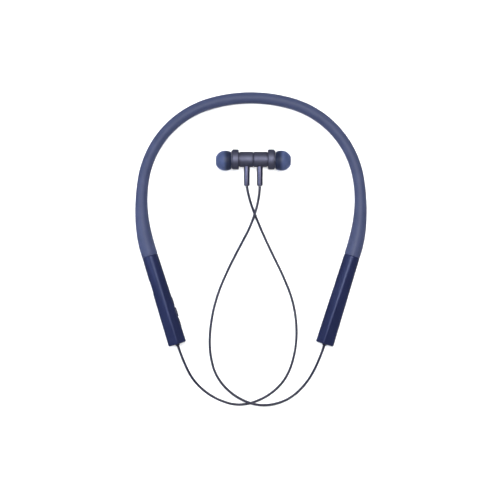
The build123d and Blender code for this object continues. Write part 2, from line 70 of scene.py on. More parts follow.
def band_station(distance):
    """The centreline's point and direction, in mm, at a distance right (+) or left (-) of the back."""
    side = 1 if distance >= 0 else -1
    left_over = abs(distance)
    x, y, heading = 0.0, BAND_BACK_Y, 0.0
    for radius, turn in BAND_ARCS:
        swept = min(left_over / radius, math.radians(turn))
        x += radius * (math.sin(heading + swept) - math.sin(heading))
        y += radius * (math.cos(heading + swept) - math.cos(heading))
        heading += swept
        left_over -= swept * radius
    x += left_over * math.cos(heading)
    y -= left_over * math.sin(heading)
    return Vector((side * x, y, 0)), Vector((math.cos(heading), -side * math.sin(heading), 0))


def sleeve_radius(distance):
    """The sleeve's radius: thin behind the neck, an S-shaped swell along each flank, then thick."""
    along = min(max((abs(distance) - THIN_LENGTH) / FLANK_LENGTH, 0), 1) ** 1.25
    return SLEEVE_THIN_R + (SLEEVE_THICK_R - SLEEVE_THIN_R) * along * along * (3 - 2 * along)


def skin(name, rings, material, capped=True):
    """A smooth closed mesh over a list of equal rings of points in mm."""
    count = len(rings[0])
    vertices = [tuple(Vector(point) * MM) for ring in rings for point in ring]
    faces = []
    for row in range(len(rings) - 1):
        for i in range(count):
            j = (i + 1) % count
            base, above = row * count, (row + 1) * count
            faces.append((base + i, base + j, above + j, above + i))
    if capped:
        last = (len(rings) - 1) * count
        faces.append(tuple(reversed(range(count))))
        faces.append(tuple(range(last, last + count)))
    mesh = bpy.data.meshes.new(name)
    mesh.from_pydata(vertices, [], faces)
    mesh.materials.append(material)
    piece = bpy.data.objects.new(name, mesh)
    bpy.context.scene.collection.objects.link(piece)
    outward(mesh)
    shade(mesh)
    return piece


def outward(mesh):
    """Turn a closed mesh the right way out."""
    volume = 0.0
    mesh.calc_loop_triangles()
    for triangle in mesh.loop_triangles:
        a, b, c = (mesh.vertices[i].co for i in triangle.vertices)
        volume += a.dot(b.cross(c))
    if volume < 0:
        mesh.flip_normals()


def shade(mesh, sharp_degrees=32):
    """Smooth shading that stays crisp across real edges."""
    mesh.polygons.foreach_set("use_smooth", [True] * len(mesh.polygons))
    mesh.set_sharp_from_angle(angle=math.radians(sharp_degrees))


def linear(colour):
    """An sRGB hex colour as linear RGBA."""
    channels = [int(colour[i:i + 2], 16) / 255 for i in (1, 3, 5)]
    return (*[c / 12.92 if c <= 0.04045 else ((c + 0.055) / 1.055) ** 2.4 for c in channels], 1)


def add_node(tree, kind, settings=(), links=()):
    """Add one node, set its properties and unlinked inputs, and link the rest of its inputs."""
    node = tree.nodes.new(kind)
    for key, value in dict(settings).items():
        if isinstance(key, str) and hasattr(node, key):
            setattr(node, key, value)
        else:
            node.inputs[key].default_value = value
    for key, socket in dict(links).items():
        tree.links.new(socket, node.inputs[key])
    return node


def new_material(name, settings):
    """A material with its shader's constant values set; returns the material, its tree and shader."""
    material = bpy.data.materials.new(name)
    material.use_nodes = True
    shader = material.node_tree.nodes["Principled BSDF"]
    for key, value in settings.items():
        shader.inputs[key].default_value = value
    return material, material.node_tree, shader


def mottle(tree, shader, dark, light, patch):
    """Slow colour variation between two hex colours, in patches of a size in mm."""
    place = add_node(tree, "ShaderNodeTexCoord")
    noise = add_node(
        tree,
        "ShaderNodeTexNoise",
        {"Scale": 1 / (patch * MM), "Detail": 3.0},
        {0: place.outputs["Object"]},
    )
    ramp = add_node(tree, "ShaderNodeValToRGB", {}, {"Fac": noise.outputs["Fac"]})
    for stop, position, colour in zip(ramp.color_ramp.elements, (0.3, 0.7), (dark, light)):
        stop.position, stop.color = position, linear(colour)
    tree.links.new(ramp.outputs["Color"], shader.inputs["Base Color"])
    return place


def grain(tree, shader, place, size, height, roughness=None):
    """A fine bump of a grain size and height in mm, which may vary the roughness with it."""
    noise = add_node(
        tree,
        "ShaderNodeTexNoise",
        {"Scale": 1 / (size * MM), "Detail": 2.0},
        {0: place.outputs["Object"]},
    )
    bump = add_node(
        tree,
        "ShaderNodeBump",
        {"Strength": 1.0, "Distance": height * MM},
        {"Height": noise.outputs["Fac"]},
    )
    tree.links.new(bump.outputs["Normal"], shader.inputs["Normal"])
    if roughness:
        spread = add_node(
            tree,
            "ShaderNodeMapRange",
            {"To Min": roughness[0], "To Max": roughness[1]},
            {"Value": noise.outputs["Fac"]},
        )
        tree.links.new(spread.outputs["Result"], shader.inputs["Roughness"])
    return bump


# Soft-touch silicone, moulded in a blasted tool: a matte blue with a weak wide highlight and a
# slight bloom at grazing angles. The blast grain is 0.05 mm, drawn at 0.3 mm so that it shows.
silicone, tree, shader = new_material(
    "silicone, blast-moulded matte blue",
    {"Roughness": 0.52, "IOR": 1.41, "Sheen Weight": 0.05, "Sheen Roughness": 0.45},
)
shader.inputs["Sheen Tint"].default_value = linear("#9aa0cc")
place = mottle(tree, shader, "#424a6c", "#495174", 9)
grain(tree, shader, place, 0.3, 0.012, roughness=(0.46, 0.6))

parting_edges = [180 * turn + edge * PARTING_HALF_DEGREES for turn in (0, 1, 2) for edge in (-1, 1)]
ring_degrees = [360 / RING_STEPS * step for step in range(RING_STEPS)]
ring_degrees = sorted(ring_degrees + [degrees for degrees in parting_edges if 0 < degrees < 360])
distances = [-HALF_BAND, -HALF_BAND + SLEEVE_END_CHAMFER]
distances += [HALF_BAND * (2 * step / SLEEVE_STEPS - 1) for step in range(1, SLEEVE_STEPS)]
distances += [HALF_BAND - SLEEVE_END_CHAMFER, HALF_BAND]
sleeve_rings = []
for distance in distances:
    point, direction = band_station(distance)
    across = Vector((-direction.y, direction.x, 0))
    inset = max(0, abs(distance) - HALF_BAND + SLEEVE_END_CHAMFER)
    ring = []
    for degrees in ring_degrees:
        angle = math.radians(degrees)
        radius = sleeve_radius(distance) - inset + (PARTING_RISE if degrees % 180 == 0 else 0)
        centre = point + Vector((0, 0, sleeve_radius(distance)))
        ring.append(centre + across * radius * math.cos(angle) + Vector((0, 0, radius * math.sin(angle))))
    sleeve_rings.append(ring)
sleeve = skin("sleeve", sleeve_rings, silicone)
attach(sleeve, "root")
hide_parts("neckband_sleeve")


# ---------------------------------------------------------------- pod shells
# Each pod is two half shells of moulded PC-ABS, joined along a seam 3 mm up: round where it meets
# the sleeve, then five-sided, with two slopes that sharpen to a crisp ridge at the cord end.
POD_LENGTH, POD_WALL = 55.0, 1.1
POD_MOUTH_CHAMFER, POD_END_ROUND = 0.3, 0.7
POD_FRONT_WALL, POD_END_WALL = 5.0, 2.0
RIDGED_HALF_WIDTH, RIDGED_SHOULDER, RIDGED_TOP = 5.4, 6.8, 10.72
ROOF_SLOPE = math.radians(35)
RIDGE_LEAN = {"left": 0.4, "right": 1.1}
SIDE_SIGN = {"left": -1, "right": 1}
SEAM_Z, SEAM_GAP = 3.0, 0.14
DEVICE_Z = 4.7
USB_S, USB_WIDTH, USB_HEIGHT = 18.3, 8.94, 3.26
USB_Z = 3.1 + USB_HEIGHT / 2
USB_GAP_ALONG, USB_GAP_UP = 0.15, 0.075
SIDE_HOLE_S, MIC_HOLE_R, LIGHT_R, LIGHT_GAP = 25.2, 0.5, 0.8, 0.05
BUTTONS = {"volume_up": (30.0, 0.25), "play": (36.5, 0.55), "volume_down": (43.0, 0.25)}
BUTTON_LENGTH, BUTTON_HEIGHT, BUTTON_GAP = 5.6, 2.5, 0.15
CUT_FLARE, CUT_OVERRUN, WALL_CUT = 0.14, 0.6, 2.0
CORNER_SHORTFALL = 0.12
RIDGED_EDGE_R, RIDGE_R = 3.0, 0.55
POD_STEPS, SLAB_REACH = 36, 120


def rounded(corners, steps):
    """Points of a closed outline from (x, y, corner radius) values, with an arc at each round corner."""
    points = []
    for index, (x, y, radius) in enumerate(corners):
        here = complex(x, y)
        if radius == 0:
            points.append((x, y))
            continue
        before = complex(*corners[index - 1][:2])
        after = complex(*corners[(index + 1) % len(corners)][:2])
        into = (here - before) / abs(here - before)
        turn = cmath.phase((after - here) / into)
        start = here - into * radius * math.tan(abs(turn) / 2)
        centre = start + into * 1j * math.copysign(radius, turn)
        for step in range(steps + 1):
            point = centre + (start - centre) * cmath.exp(1j * turn * step / steps)
            points.append((point.real, point.imag))
    return points


def pod_frame(side):
    """A pod's origin, its direction towards the cord, and the direction across it towards +X."""
    origin, direction = band_station(SIDE_SIGN[side] * HALF_BAND)
    along = direction * SIDE_SIGN[side]
    return origin, along, Vector((-along.y, along.x, 0))


def pod_point(side, s, x, z):
    """A point of a pod: s along it from the sleeve, x across it and z up, in mm."""
    origin, along, across = pod_frame(side)
    return origin + along * s + across * x + Vector((0, 0, z))


def five_sides(half_width, low, shoulder, top, ridge_x, bottom_radius, shoulder_radius, ridge_radius):
    """The pod's section: a flat bottom, two upright sides and two slopes that meet at the ridge."""
    return rounded(
        [
            (-half_width, low, bottom_radius),
            (half_width, low, bottom_radius),
            (half_width, shoulder, shoulder_radius),
            (ridge_x, top, ridge_radius),
            (-half_width, shoulder, shoulder_radius),
        ],
        steps=10,
    )


def pod_ring(side, s, inset, along=None):
    """A pod section at s, part of the way from round to ridged, drawn in by an inset."""
    if along is None:
        along = (s - POD_MOUTH_CHAMFER) / (POD_LENGTH - POD_MOUTH_CHAMFER)
    radius = SLEEVE_THICK_R - inset
    shoulder = SLEEVE_THICK_R + radius * (1 - math.sin(ROOF_SLOPE)) / math.cos(ROOF_SLOPE)
    top = SLEEVE_THICK_R + radius / math.cos(ROOF_SLOPE)
    corner = radius - CORNER_SHORTFALL
    nearly_round = five_sides(radius, inset, shoulder, top, 0, corner, corner, corner)
    ridged = five_sides(
        RIDGED_HALF_WIDTH - inset,
        inset,
        RIDGED_SHOULDER - inset * (1 / math.cos(ROOF_SLOPE) - math.tan(ROOF_SLOPE)),
        RIDGED_TOP - inset / math.cos(ROOF_SLOPE),
        -SIDE_SIGN[side] * RIDGE_LEAN[side],
        RIDGED_EDGE_R - 0.8 * inset,
        RIDGED_EDGE_R - 0.8 * inset,
        RIDGE_R - 0.2 * inset,
    )
    ring = []
    for (x0, z0), (x1, z1) in zip(nearly_round, ridged):
        ring.append(pod_point(side, s, x0 + (x1 - x0) * along, z0 + (z1 - z0) * along))
    return ring


def side_rings(s, z, width, height, layers):
    """Rings of a slot looking out of the left pod's side, at (distance across, growth) layers."""
    rings = []
    for x, grow in layers:
        half_w, half_h = width / 2 + grow, height / 2 + grow
        nearly_half = min(half_w, half_h) * 0.999
        corners = ((-half_w, -half_h), (half_w, -half_h), (half_w, half_h), (-half_w, half_h))
        outline = rounded([(u, v, nearly_half) for u, v in corners], steps=12)
        rings.append([pod_point("left", s + u, x, z + v) for u, v in outline])
    return rings


def half_width_at(s):
    """Half the pod's width at s, level with the buttons and holes."""
    return SLEEVE_THICK_R + (RIDGED_HALF_WIDTH - SLEEVE_THICK_R) * s / POD_LENGTH


def window(name, s, z, width, height, towards):
    """A cutter for a hole in the left pod's side, flared at the surface to round off its edge."""
    face = half_width_at(s)
    layers = [(face - WALL_CUT, 0), (face - CUT_FLARE, 0), (face + CUT_OVERRUN, CUT_OVERRUN + CUT_FLARE)]
    layers = [(towards * x, grow) for x, grow in layers]
    return skin(name, side_rings(s, z, width, height, layers), pod_plastic)


def carve(piece, cutters, operation="DIFFERENCE"):
    """Cut a piece with other closed meshes, which are used up."""
    for cutter in cutters:
        modifier = piece.modifiers.new("cut", "BOOLEAN")
        modifier.object, modifier.operation, modifier.solver = cutter, operation, "EXACT"
    graph = bpy.context.evaluated_depsgraph_get()
    mesh = bpy.data.meshes.new_from_object(piece.evaluated_get(graph))
    piece.modifiers.clear()
    piece.data = mesh
    for cutter in cutters:
        bpy.data.objects.remove(cutter)
    shade(mesh)


def slab(name, low_z, high_z):
    """A block that holds everything between two heights."""
    corners = [(x * SLAB_REACH, y * SLAB_REACH) for x, y in ((-1, -1), (1, -1), (1, 1), (-1, 1))]
    return skin(name, [[(x, y, z) for x, y in corners] for z in (low_z, high_z)], pod_plastic)


# PC-ABS moulded in a finely spark-eroded tool: dark navy, satin, with a soft broad highlight and
# a thin bright line where the ridge turns. The spark grain is 0.1 mm, drawn at 0.25 mm.
pod_plastic, tree, shader = new_material(
    "PC-ABS, spark-textured satin navy",
    {"Roughness": 0.38, "IOR": 1.5},
)
shader.inputs["Specular Tint"].default_value = linear("#b9c6f4")
place = mottle(tree, shader, "#1e2447", "#252b4f", 14)
grain(tree, shader, place, 0.25, 0.008, roughness=(0.33, 0.43))

straight_run = POD_LENGTH - POD_MOUTH_CHAMFER - POD_END_ROUND
pod_stations = [POD_MOUTH_CHAMFER + straight_run * step / POD_STEPS for step in range(POD_STEPS + 1)]
for side in ("left", "right"):
    for half, low_z, high_z in (("upper", SEAM_Z + SEAM_GAP / 2, 20), ("lower", -5, SEAM_Z - SEAM_GAP / 2)):
        rings = [pod_ring(side, 0, POD_MOUTH_CHAMFER, 0)] + [pod_ring(side, s, 0) for s in pod_stations]
        for step in range(1, 5):
            angle = math.radians(90 * step / 4)
            inset = POD_END_ROUND * (1 - math.cos(angle))
            rings.append(pod_ring(side, POD_LENGTH - POD_END_ROUND * (1 - math.sin(angle)), inset))
        shell = skin(f"{side}_{half}_pod_shell", rings, pod_plastic)
        cavity_rings = [pod_ring(side, s, POD_WALL) for s in (POD_FRONT_WALL, POD_LENGTH - POD_END_WALL)]
        cutters = [skin("cavity", cavity_rings, pod_plastic)]
        if side == "left" and half == "upper":
            for s, proud in BUTTONS.values():
                length, height = BUTTON_LENGTH + 2 * BUTTON_GAP, BUTTON_HEIGHT + 2 * BUTTON_GAP
                cutters.append(window("button_window", s, DEVICE_Z, length, height, 1))
            for towards, hole_r in ((1, LIGHT_R + LIGHT_GAP), (-1, MIC_HOLE_R)):
                cutters.append(window("round_hole", SIDE_HOLE_S, DEVICE_Z, 2 * hole_r, 2 * hole_r, towards))
            length, height = USB_WIDTH + 2 * USB_GAP_ALONG, USB_HEIGHT + 2 * USB_GAP_UP
            cutters.append(window("usb_hole", USB_S, USB_Z, length, height, -1))
        carve(shell, cutters)
        carve(shell, [slab("half", low_z, high_z)], "INTERSECT")
        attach(shell, "root")
        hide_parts(f"{side}_{half}_shell")


# ---------------------------------------------------------------- buttons
# Three moulded caps of the pod's plastic, on sprung webs behind its inner side: volume up, play
# and volume down. The middle one stands prouder and has a pip, so that a thumb finds it; the other
# two have a raised plus and minus.
BUTTON_EDGE, THUMB_DISH, DISH_INSET = 0.35, 0.05, 0.75
CAP_ROOT_X = 3.4
MARK_HEIGHT, MARK_ROOT, MARK_WIDTH, MARK_LENGTH, PIP = 0.12, 0.3, 0.3, 1.3, 0.9
MARKS = {
    "volume_up": [(MARK_LENGTH, MARK_WIDTH), (MARK_WIDTH, MARK_LENGTH)],
    "play": [(PIP, PIP)],
    "volume_down": [(MARK_LENGTH, MARK_WIDTH)],
}


def join(name, parts):
    """Gather several like meshes into one piece."""
    with bpy.context.temp_override(active_object=parts[0], selected_editable_objects=parts):
        bpy.ops.object.join()
    parts[0].name = name
    return parts[0]


# The same PC-ABS in a smoother tool: a shade darker and tighter in its highlight than the pod.
button_plastic, tree, shader = new_material("PC-ABS, smooth satin navy", {"Roughness": 0.34, "IOR": 1.5})
place = mottle(tree, shader, "#1b2042", "#202648", 6)
grain(tree, shader, place, 0.2, 0.004, roughness=(0.3, 0.4))

for name, (s, proud) in BUTTONS.items():
    face = half_width_at(s) + proud
    layers = [(CAP_ROOT_X, 0)]
    for step in range(7):
        angle = math.radians(90 * step / 6)
        layers.append((face - BUTTON_EDGE * (1 - math.sin(angle)), -BUTTON_EDGE * (1 - math.cos(angle))))
    layers.append((face - THUMB_DISH, -DISH_INSET))
    cap_rings = side_rings(s, DEVICE_Z, BUTTON_LENGTH, BUTTON_HEIGHT, layers)
    parts = [skin(f"{name}_cap", cap_rings, button_plastic)]
    top = face - THUMB_DISH + MARK_HEIGHT
    layers = [(face - MARK_ROOT, 0), (top - 0.08, 0), (top - 0.02, -0.03), (top, -0.09)]
    for width, height in MARKS[name]:
        parts.append(skin("mark", side_rings(s, DEVICE_Z, width, height, layers), button_plastic))
    cap = join(f"{name}_cap", parts)
    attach(cap, f"{name}_button")
    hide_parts(f"{name}_button")


# ---------------------------------------------------------------- charging port and light
# A drawn tin-plated shell with a moulded tongue and gold-flashed contacts, set in the left pod's
# outer side, and a polished polycarbonate light pipe that ends flush in its inner side.
USB_MOUTH_X, USB_DEPTH, USB_SHELL_WALL = 4.35, 6.8, 0.3
TONGUE_WIDTH, TONGUE_HEIGHT, TONGUE_LENGTH, TONGUE_SETBACK = 6.7, 0.7, 5.7, 1.0
CONTACT_COUNT, CONTACT_PITCH, CONTACT_SETBACK = 12, 0.5, 1.2
CONTACT_WIDTH, CONTACT_LENGTH, CONTACT_THICKNESS = 0.25, 3.2, 0.06

# Steel strip, drawn and tin-plated: pale and bright, with a fine unevenness.
tin_plate, tree, shader = new_material("steel, tin-plated and drawn", {"Metallic": 1.0, "Roughness": 0.3})
place = mottle(tree, shader, "#a9abb0", "#c6c8cc", 2)
grain(tree, shader, place, 0.08, 0.004, roughness=(0.22, 0.38))

layers = [
    (-USB_MOUTH_X + USB_DEPTH, 0),
    (-USB_MOUTH_X + 0.1, 0),
    (-USB_MOUTH_X, -0.08),
    (-USB_MOUTH_X, -0.22),
    (-USB_MOUTH_X + 0.1, -USB_SHELL_WALL),
    (-USB_MOUTH_X + USB_DEPTH - USB_SHELL_WALL, -USB_SHELL_WALL),
]
usb_shell = skin("usb_c_shell", side_rings(USB_S, USB_Z, USB_WIDTH, USB_HEIGHT, layers), tin_plate)
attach(usb_shell, "root")
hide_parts("usb_c_port")

# Glass-filled nylon: near black and dull, a little uneven where the fibres lie near the surface.
tongue_plastic, tree, shader = new_material(
    "glass-filled nylon, moulded black",
    {"Roughness": 0.5, "IOR": 1.53},
)
place = mottle(tree, shader, "#141416", "#1d1d20", 1)
grain(tree, shader, place, 0.1, 0.006)


def pod_block(name, centre, size, edge, material):
    """A block with its corners and ends rounded off, placed at (s, x, z) in the left pod."""
    s, x, z = centre
    half_s, half_x, half_z = (value / 2 for value in size)
    rings = []
    for offset, inset in ((-half_s, edge), (-half_s + edge, 0), (half_s - edge, 0), (half_s, edge)):
        wide, high = half_x - inset, half_z - inset
        corners = ((-wide, -high), (wide, -high), (wide, high), (-wide, high))
        outline = rounded([(u, v, edge) for u, v in corners], steps=4)
        rings.append([pod_point("left", s + offset, x + u, z + v) for u, v in outline])
    return skin(name, rings, material)


tongue_x = -USB_MOUTH_X + (TONGUE_SETBACK + USB_DEPTH) / 2
tongue_size = (TONGUE_WIDTH, TONGUE_LENGTH, TONGUE_HEIGHT)
tongue = pod_block("usb_c_tongue", (USB_S, tongue_x, USB_Z), tongue_size, 0.1, tongue_plastic)
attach(tongue, "root")

# Copper alloy with a thin flash of gold: small bright warm strips.
gold, tree, shader = new_material("copper alloy, gold-flashed", {"Metallic": 1.0, "Roughness": 0.25})
mottle(tree, shader, "#caa24a", "#e0bd68", 0.5)
contacts = []
contact_x = -USB_MOUTH_X + CONTACT_SETBACK + CONTACT_LENGTH / 2
contact_size = (CONTACT_WIDTH, CONTACT_LENGTH, CONTACT_THICKNESS)
for row in (-1, 1):
    for index in range(CONTACT_COUNT):
        s = USB_S + (index - (CONTACT_COUNT - 1) / 2) * CONTACT_PITCH
        spot = (s, contact_x, USB_Z + row * TONGUE_HEIGHT / 2)
        contacts.append(pod_block("contact", spot, contact_size, 0.02, gold))
usb_contacts = join("usb_c_contacts", contacts)
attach(usb_contacts, "root")

# Polycarbonate, polished clear: takes its tint from the pod around it and glints at its rim.
clear_plastic, tree, shader = new_material(
    "polycarbonate, polished clear",
    {"Roughness": 0.12, "IOR": 1.585, "Transmission Weight": 0.85},
)
mottle(tree, shader, "#dfe3ee", "#f2f4fa", 1)


def turned(name, outline, origin, axis, material, segments):
    """A piece turned about an axis from an outline of (distance along, radius) points in mm."""
    axis = Vector(axis).normalized()
    side_way = axis.orthogonal().normalized()
    other_way = axis.cross(side_way)
    rings = []
    for step in range(segments):
        angle = 2 * math.pi * step / segments
        radial = side_way * math.cos(angle) + other_way * math.sin(angle)
        rings.append([Vector(origin) + axis * e + radial * max(r, 0) for e, r in outline])
    rings.append(rings[0])
    piece = skin(name, rings, material, capped=False)
    weld(piece.data)
    return piece


def weld(mesh):
    """Merge the points that fall together on an axis or a seam, and drop what that flattens."""
    distance = 0.0005 * MM
    work = bmesh.new()
    work.from_mesh(mesh)
    bmesh.ops.remove_doubles(work, verts=work.verts, dist=distance)
    bmesh.ops.dissolve_degenerate(work, edges=work.edges, dist=distance)
    work.to_mesh(mesh)
    work.free()
    outward(mesh)
    shade(mesh)


LIGHT_ROOT_X = 2.2
light_face = half_width_at(SIDE_HOLE_S)
light_outline = rounded(
    [(LIGHT_ROOT_X, 0, 0), (LIGHT_ROOT_X, LIGHT_R, 0.1), (light_face, LIGHT_R, 0.25), (light_face, 0, 0)],
    steps=5,
)
light_centre, light_axis = pod_point("left", SIDE_HOLE_S, 0, DEVICE_Z), pod_frame("left")[2]
light = turned("light_pipe_rod", light_outline, light_centre, light_axis, clear_plastic, 48)
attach(light, "root")
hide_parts("light_pipe")


# ---------------------------------------------------------------- grommets
# A push-in rubber bush in each pod's end that the cord comes through; only its short tapered
# lip shows.
GROMMET_Z, GROMMET_REACH, GROMMET_FLANGE = 5.2, 0.9, 0.9
GROMMET_FLANGE_R, GROMMET_NECK_R, GROMMET_LIP_R = 2.3, 1.5, 1.0

# Thermoplastic rubber from a dull tool: dark navy and matte, with a slight unevenness.
rubber, tree, shader = new_material("thermoplastic rubber, moulded dark", {"Roughness": 0.55, "IOR": 1.5})
place = mottle(tree, shader, "#1c1d30", "#24253c", 3)
grain(tree, shader, place, 0.15, 0.006, roughness=(0.48, 0.62))

wall_inside, lip_end = POD_LENGTH - POD_END_WALL, POD_LENGTH + GROMMET_REACH
bush_outline = rounded(
    [
        (wall_inside - GROMMET_FLANGE, 0, 0),
        (wall_inside - GROMMET_FLANGE, GROMMET_FLANGE_R, 0.2),
        (wall_inside, GROMMET_FLANGE_R, 0),
        (wall_inside, GROMMET_NECK_R, 0),
        (POD_LENGTH + 0.1, GROMMET_NECK_R, 0.1),
        (lip_end, GROMMET_LIP_R, 0.15),
        (lip_end, 0, 0),
    ],
    steps=5,
)
for side in ("left", "right"):
    bush_centre, bush_axis = pod_point(side, 0, 0, GROMMET_Z), pod_frame(side)[1]
    bush = turned(f"{side}_cord_bush", bush_outline, bush_centre, bush_axis, rubber, 48)
    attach(bush, "root")
    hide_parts(f"{side}_grommet")


# ---------------------------------------------------------------- earbud cans, rings and stems
# Turned aluminium cans, bead-blasted and anodised slate. The two meet back to back on their
# magnets; each carries a wider front ring past a narrow groove, and a thin stem down to the cord.
BUD_X, BUD_Y, BUD_Z = 1.4, 35.6, 6.0
CAN_BACK, CAN_R, CAN_END, CAN_CHAMFER = 0.01, 4.55, 8.06, 0.5
SPIGOT_START, SPIGOT_BORE_R, SPIGOT_R = 6.5, 3.2, 3.9
GROOVE_R, RING_START, RING_R, RING_END, RING_CHAMFER = 4.2, 8.66, 6.0, 12.66, 0.45
SEAT_START, SEAT_GAP = 9.4, 0.03
PLATE_R, PLATE_START, PLATE_END = 5.15, 12.0, 13.1
NOZZLE_DROP, NOZZLE_R, NOZZLE_BORE_R, NOZZLE_END = 0.7, 2.6, 1.9, 16.9
STEM_E, STEM_R, STEM_BORE_R, STEM_TOP, STEM_END = 3.88, 1.7, 1.15, 3.4, 15.6
PLUG_TOP, PLUG_END = 10.0, 15.9
GUARD_E, GUARD_PITCH, GUARD_WIRE_R, GUARD_WEAVE = 16.4, 0.34, 0.055, 0.06
TURNING_WAVE = 1.57

# Anodised aluminium: a dark tinted metal whose dyed film scatters some light, so it is less than
# fully metallic, with a wide satin highlight. Turning leaves marks too fine to show; a faint
# waviness stands for them, 1.57 mm from crest to crest.
anodised, tree, shader = new_material(
    "aluminium, bead-blasted and anodised slate",
    {"Metallic": 0.75, "Roughness": 0.55},
)
place = mottle(tree, shader, "#5a5b6f", "#636477", 5)
rings_wave = add_node(
    tree,
    "ShaderNodeTexWave",
    {"bands_direction": "X", "Scale": math.pi / (10 * TURNING_WAVE * MM), "Distortion": 0.6, "Detail": 1.0},
    {0: place.outputs["Object"]},
)
blast = grain(tree, shader, place, 0.12, 0.004, roughness=(0.49, 0.61))
turning = add_node(
    tree,
    "ShaderNodeBump",
    {"Strength": 0.25, "Distance": 0.003 * MM},
    {"Height": rings_wave.outputs["Fac"], "Normal": blast.outputs["Normal"]},
)
tree.links.new(turning.outputs["Normal"], shader.inputs["Normal"])

# The stems are drawn tube, anodised without blasting: the same slate, but smoother, so that their
# highlight is a narrow bright line between dark sides.
drawn_tube, tree, shader = new_material(
    "aluminium, drawn and anodised slate",
    {"Metallic": 0.9, "Roughness": 0.28},
)
place = mottle(tree, shader, "#505064", "#5a5a6f", 5)
grain(tree, shader, place, 0.12, 0.002, roughness=(0.24, 0.33))

# Stainless steel wire as woven: bright and clean, with slight changes from wire to wire.
stainless, tree, shader = new_material("stainless steel, woven wire", {"Metallic": 1.0, "Roughness": 0.28})
mottle(tree, shader, "#8d8d92", "#b4b4ba", 0.3)

can_outline = rounded(
    [
        (CAN_BACK, 0, 0),
        (CAN_BACK, CAN_R - CAN_CHAMFER, 0.12),
        (CAN_BACK + CAN_CHAMFER, CAN_R, 0.2),
        (CAN_END, CAN_R, 0.1),
        (CAN_END, 0, 0),
    ],
    steps=4,
)
ring_outline = rounded(
    [
        (SPIGOT_START, SPIGOT_BORE_R, 0),
        (SPIGOT_START, SPIGOT_R, 0),
        (CAN_END, SPIGOT_R, 0),
        (CAN_END + 0.02, GROOVE_R, 0),
        (RING_START, GROOVE_R, 0),
        (RING_START, RING_R - RING_CHAMFER, 0.12),
        (RING_START + RING_CHAMFER, RING_R, 0.2),
        (RING_END - RING_CHAMFER, RING_R, 0.2),
        (RING_END, RING_R - RING_CHAMFER, 0.12),
        (RING_END, PLATE_R + SEAT_GAP, 0.06),
        (SEAT_START, PLATE_R + SEAT_GAP, 0),
        (SEAT_START, SPIGOT_BORE_R, 0),
    ],
    steps=4,
)
plate_outline = rounded(
    [(PLATE_START, 0, 0), (PLATE_START, PLATE_R, 0), (PLATE_END, PLATE_R, 0.12), (PLATE_END, 0, 0)],
    steps=4,
)
nozzle_outline = rounded(
    [
        (PLATE_START + 0.1, NOZZLE_BORE_R, 0),
        (PLATE_START + 0.1, NOZZLE_R, 0),
        (PLATE_END, NOZZLE_R, 0),
        (NOZZLE_END, NOZZLE_R, 0.2),
        (NOZZLE_END, NOZZLE_BORE_R, 0.1),
    ],
    steps=4,
)
stem_outline = rounded(
    [
        (STEM_TOP, STEM_BORE_R, 0),
        (STEM_TOP, STEM_R, 0),
        (STEM_END, STEM_R, 0.1),
        (STEM_END, STEM_BORE_R, 0.08),
    ],
    steps=4,
)
plug_outline = rounded(
    [(PLUG_TOP, 0, 0), (PLUG_TOP, STEM_BORE_R, 0), (PLUG_END, STEM_BORE_R, 0.25), (PLUG_END, 0, 0)],
    steps=4,
)


def guard_wire(centre, axis, index, crossways):
    """One wire of a plain weave across a nozzle's bore, over one crossing wire and under the next."""
    half_chord = math.sqrt(NOZZLE_BORE_R ** 2 - (index * GUARD_PITCH) ** 2) - 0.02
    steps = max(4, int(2 * half_chord / GUARD_PITCH * 4))
    rings = []
    for step in range(steps + 1):
        along = half_chord * (2 * step / steps - 1)
        e = GUARD_E + GUARD_WEAVE * math.cos(math.pi * (along / GUARD_PITCH + index + crossways))
        ring = []
        for corner in range(6):
            angle = 2 * math.pi * corner / 6
            aside = index * GUARD_PITCH + GUARD_WIRE_R * math.cos(angle)
            u, v = (aside, along) if crossways else (along, aside)
            ring.append(centre + axis * (e + GUARD_WIRE_R * math.sin(angle)) + Vector((0, u, v)))
        rings.append(ring)
    return skin("wire", rings, stainless)


guard_reach = int(NOZZLE_BORE_R / GUARD_PITCH)
for side, sign in SIDE_SIGN.items():
    centre, axis, down = Vector((BUD_X, BUD_Y, BUD_Z)), Vector((sign, 0, 0)), (0, -1, 0)
    dropped = centre - Vector((0, NOZZLE_DROP, 0))
    stem_origin = centre + axis * STEM_E
    can = turned(f"{side}_can", can_outline, centre, axis, anodised, 128)
    ring = turned(f"{side}_front_ring", ring_outline, centre, axis, anodised, 144)
    plate = turned(f"{side}_front_plate", plate_outline, centre, axis, anodised, 96)
    nozzle = turned(f"{side}_nozzle_tube", nozzle_outline, dropped, axis, anodised, 72)
    stem = turned(f"{side}_stem_tube", stem_outline, stem_origin, down, drawn_tube, 64)
    plug = turned(f"{side}_stem_bush", plug_outline, stem_origin, down, rubber, 48)
    wires = []
    for index in range(-guard_reach, guard_reach + 1):
        wires += [guard_wire(dropped, axis, index, crossways) for crossways in (0, 1)]
    screen = join(f"{side}_wax_guard", wires)
    for piece, slot, node in (
        (can, "anodised_aluminium", "bud_housing"),
        (ring, "anodised_aluminium", "bud_ring"),
        (plate, "nozzle_metal", "nozzle"),
        (stem, "anodised_aluminium", "stem"),
        (plug, "grommet_rubber", "stem_plug"),
        (screen, "mesh_steel", "nozzle_mesh"),
    ):
        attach(piece, f"{side}_earbud")
        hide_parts(f"{side}_{node}")
    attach(nozzle, f"{side}_earbud")


